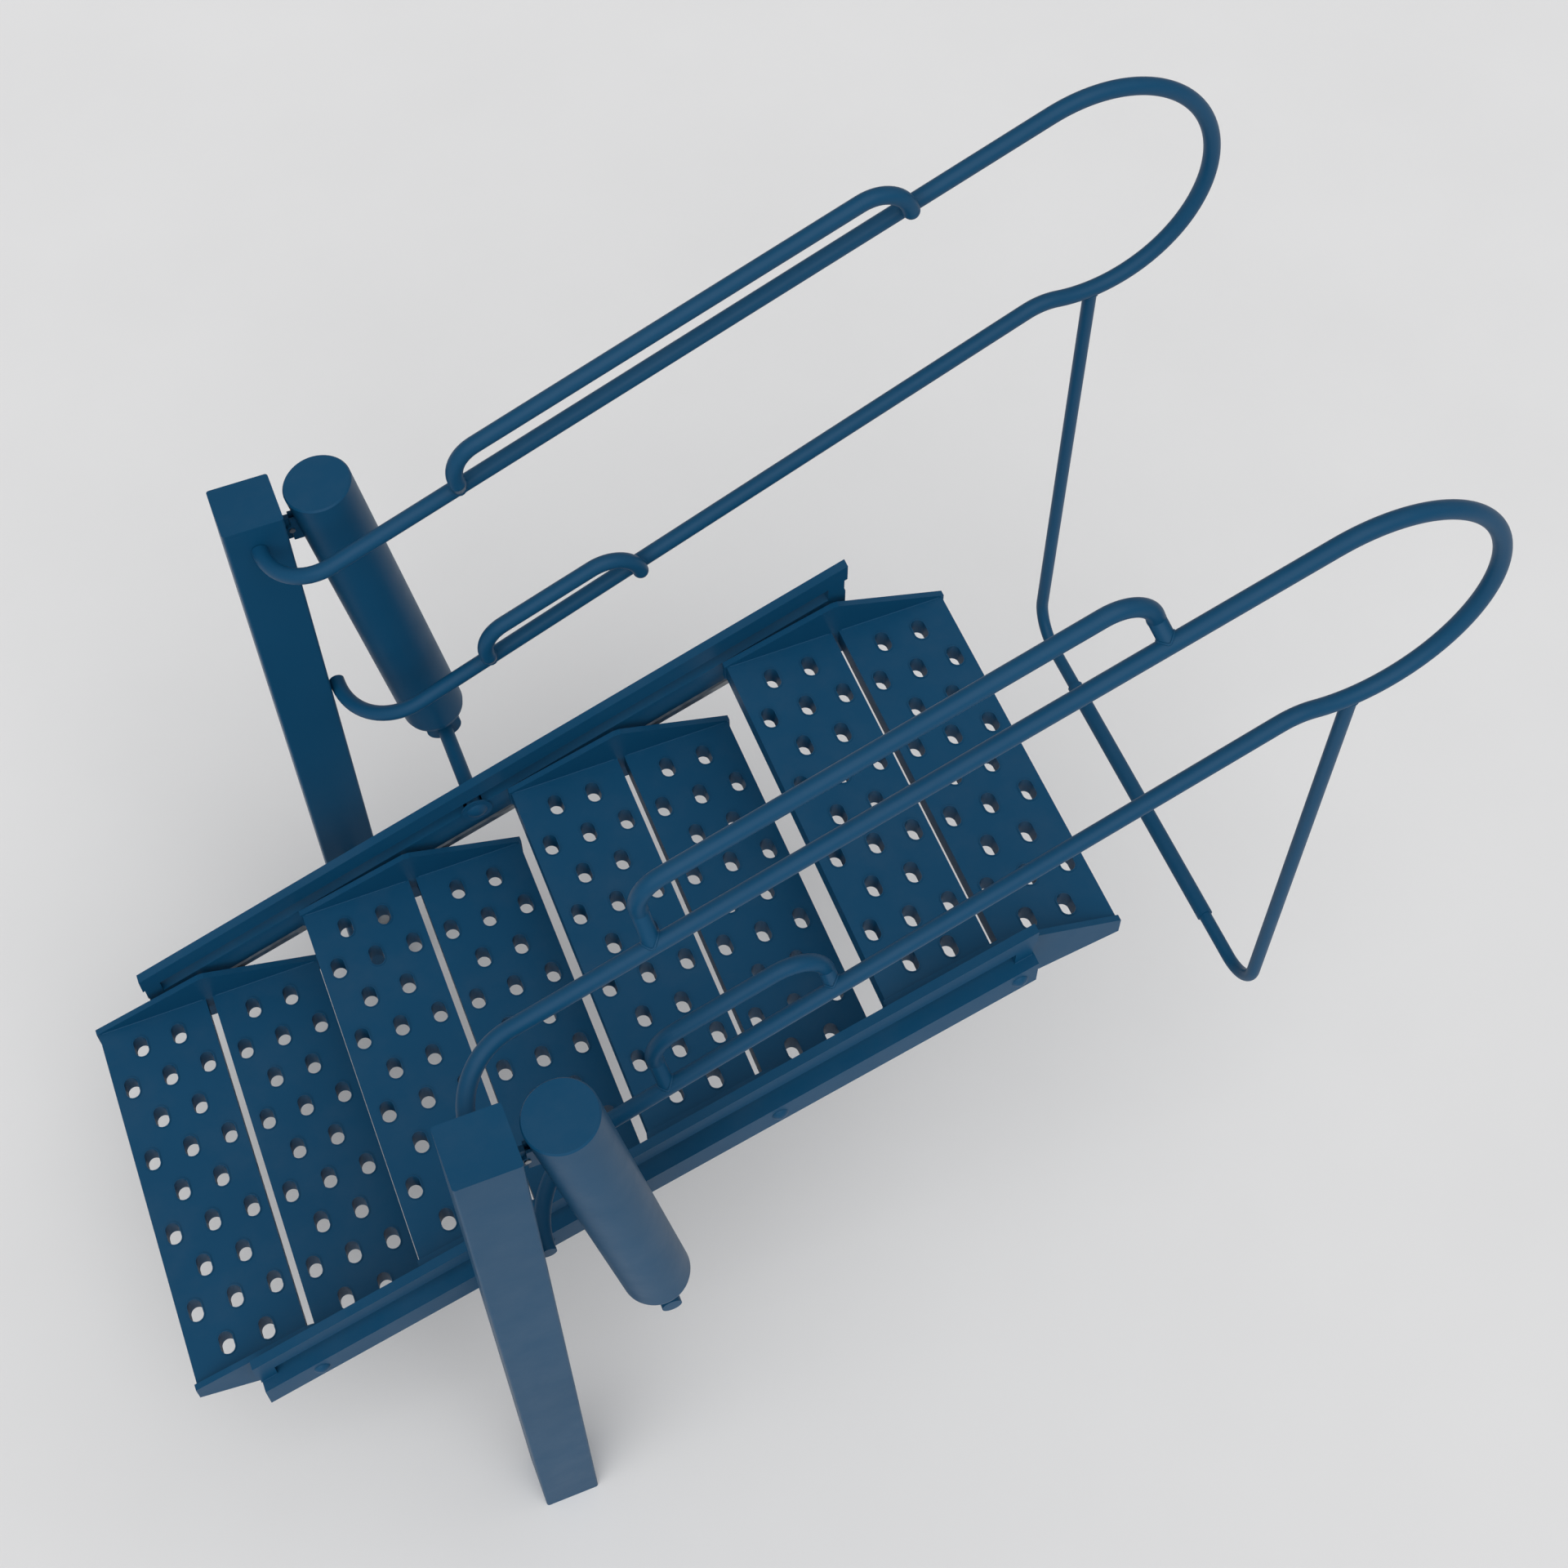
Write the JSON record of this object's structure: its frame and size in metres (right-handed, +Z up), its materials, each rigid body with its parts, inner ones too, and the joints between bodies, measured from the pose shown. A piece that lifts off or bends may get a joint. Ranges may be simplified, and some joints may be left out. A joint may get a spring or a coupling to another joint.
{
  "type": "tilting access stair",
  "caption": "Tilting access stair on two posts with self-levelling perforated treads, looped tube handrails, lifting cylinders and an end U-bar.",
  "frame": {"origin": "on the floor, midway between the two posts, at the centre of the rectangle of the four foot bolts", "axes": "+X up the stair, from the low tread to the U-bar end; +Y across the stair to the far post; +Z up"},
  "size_m": [2.6653, 1.6074, 2.5322],
  "materials": {
    "blue_paint": "satin dark blue paint on steel",
    "tread_paint": "matt dark blue paint on perforated sheet steel",
    "ram_paint": "satin dark blue paint",
    "grip": "satin dark blue paint",
    "bare_steel": "plain zinc-plated steel"
  },
  "bodies": {
    "frame": {"post_near": "blue_paint", "foot_plate_near": "bare_steel", "hinge_pin_near": "bare_steel", "barrel_lug_near": "blue_paint", "lug_pin_near": "bare_steel", "post_far": "blue_paint", "foot_plate_far": "bare_steel", "hinge_pin_far": "bare_steel", "barrel_lug_far": "blue_paint", "lug_pin_far": "bare_steel"},
    "walkway": {"top_chord_near": "blue_paint", "bottom_chord_near": "blue_paint", "hinge_plate_near": "blue_paint", "top_chord_far": "blue_paint", "bottom_chord_far": "blue_paint", "hinge_plate_far": "blue_paint", "pivot_spacers": "bare_steel"},
    "tread_1": {"tread1_low_plank": "tread_paint", "tread1_high_plank": "tread_paint", "tread1_end_near": "blue_paint", "tread1_end_far": "blue_paint", "tread1_pivots": "blue_paint"},
    "tread_2": {"tread2_low_plank": "tread_paint", "tread2_high_plank": "tread_paint", "tread2_end_near": "blue_paint", "tread2_end_far": "blue_paint", "tread2_pivots": "blue_paint"},
    "tread_3": {"tread3_low_plank": "tread_paint", "tread3_high_plank": "tread_paint", "tread3_end_near": "blue_paint", "tread3_end_far": "blue_paint", "tread3_pivots": "blue_paint"},
    "tread_4": {"tread4_low_plank": "tread_paint", "tread4_high_plank": "tread_paint", "tread4_end_near": "blue_paint", "tread4_end_far": "blue_paint", "tread4_pivots": "blue_paint"},
    "levelling_bar_near": {"levelling_bar_near": "bare_steel"},
    "cylinder_near": {"barrel_near": "blue_paint", "nose_near": "blue_paint"},
    "ram_near": {"ram_near": "ram_paint", "cross_pin_near": "blue_paint"},
    "levelling_bar_far": {"levelling_bar_far": "bare_steel"},
    "cylinder_far": {"barrel_far": "blue_paint", "nose_far": "blue_paint"},
    "ram_far": {"ram_far": "ram_paint", "cross_pin_far": "blue_paint"},
    "handrail": {"upper_rail_near": "blue_paint", "bow_near": "blue_paint", "lower_rail_near": "blue_paint", "grab_bars_near": "blue_paint", "upper_rail_far": "blue_paint", "bow_far": "blue_paint", "lower_rail_far": "blue_paint", "grab_bars_far": "blue_paint", "u_bar": "blue_paint"},
    "sleeve": {"sleeve": "grip"}
  },
  "joints": [
    {"name": "walkway_pitch", "type": "hinge", "parent": "frame", "child": "walkway", "pos_m": [0, 0, 0.62], "axis": [0, 1, 0], "range_deg": [-4, 16]},
    {"name": "tread_1_level", "type": "hinge", "parent": "walkway", "child": "tread_1", "pos_m": [-0.417, 0, 0.62761], "axis": [0, 1, 0], "range_deg": [-16.5, 4.5]},
    {"name": "tread_2_level", "type": "hinge", "parent": "walkway", "child": "tread_2", "pos_m": [0.1056, 0, 0.84052], "axis": [0, 1, 0], "range_deg": [-16.5, 4.5]},
    {"name": "tread_3_level", "type": "hinge", "parent": "walkway", "child": "tread_3", "pos_m": [0.6282, 0, 1.05343], "axis": [0, 1, 0], "range_deg": [-16.5, 4.5]},
    {"name": "tread_4_level", "type": "hinge", "parent": "walkway", "child": "tread_4", "pos_m": [1.1508, 0, 1.26634], "axis": [0, 1, 0], "range_deg": [-16.5, 4.5]},
    {"name": "levelling_bar_near_swing", "type": "hinge", "parent": "tread_1", "child": "levelling_bar_near", "pos_m": [-0.417, -0.465, 0.60361], "axis": [0, 1, 0], "range_deg": [-4.5, 16.5]},
    {"name": "cylinder_near_swing", "type": "hinge", "parent": "frame", "child": "cylinder_near", "pos_m": [0.0756, -0.733, 1.776], "axis": [0, 1, 0], "range_deg": [-4.2, 1.2]},
    {"name": "ram_near_slide", "type": "slide", "parent": "cylinder_near", "child": "ram_near", "axis": [0.1504, 0, -0.9886], "range_m": [-0.0275, 0.108]},
    {"name": "levelling_bar_far_swing", "type": "hinge", "parent": "tread_1", "child": "levelling_bar_far", "pos_m": [-0.417, 0.465, 0.60361], "axis": [0, 1, 0], "range_deg": [-4.5, 16.5]},
    {"name": "cylinder_far_swing", "type": "hinge", "parent": "frame", "child": "cylinder_far", "pos_m": [0.0756, 0.733, 1.776], "axis": [0, 1, 0], "range_deg": [-4.2, 1.2]},
    {"name": "ram_far_slide", "type": "slide", "parent": "cylinder_far", "child": "ram_far", "axis": [0.1504, 0, -0.9886], "range_m": [-0.0275, 0.108]},
    {"name": "handrail_lift", "type": "hinge", "parent": "frame", "child": "handrail", "pos_m": [0, 0, 1.8078], "axis": [0, 1, 0], "range_deg": [-6, 0]},
    {"name": "sleeve_spin", "type": "hinge", "parent": "handrail", "child": "sleeve", "pos_m": [1.738, 0, 0.83], "axis": [0, 1, 0], "continuous": true}
  ],
  "couplings": [
    {"joint": "tread_1_level", "follows": "walkway_pitch", "ratio": -1},
    {"joint": "tread_2_level", "follows": "walkway_pitch", "ratio": -1},
    {"joint": "tread_3_level", "follows": "walkway_pitch", "ratio": -1},
    {"joint": "tread_4_level", "follows": "walkway_pitch", "ratio": -1},
    {"joint": "levelling_bar_near_swing", "follows": "walkway_pitch", "ratio": 1},
    {"joint": "cylinder_near_swing", "follows": "walkway_pitch", "ratio": -0.2493},
    {"joint": "ram_near_slide", "follows": "walkway_pitch", "m_per_rad": 0.3842},
    {"joint": "levelling_bar_far_swing", "follows": "walkway_pitch", "ratio": 1},
    {"joint": "cylinder_far_swing", "follows": "walkway_pitch", "ratio": -0.2493},
    {"joint": "ram_far_slide", "follows": "walkway_pitch", "m_per_rad": 0.3842}
  ]
}
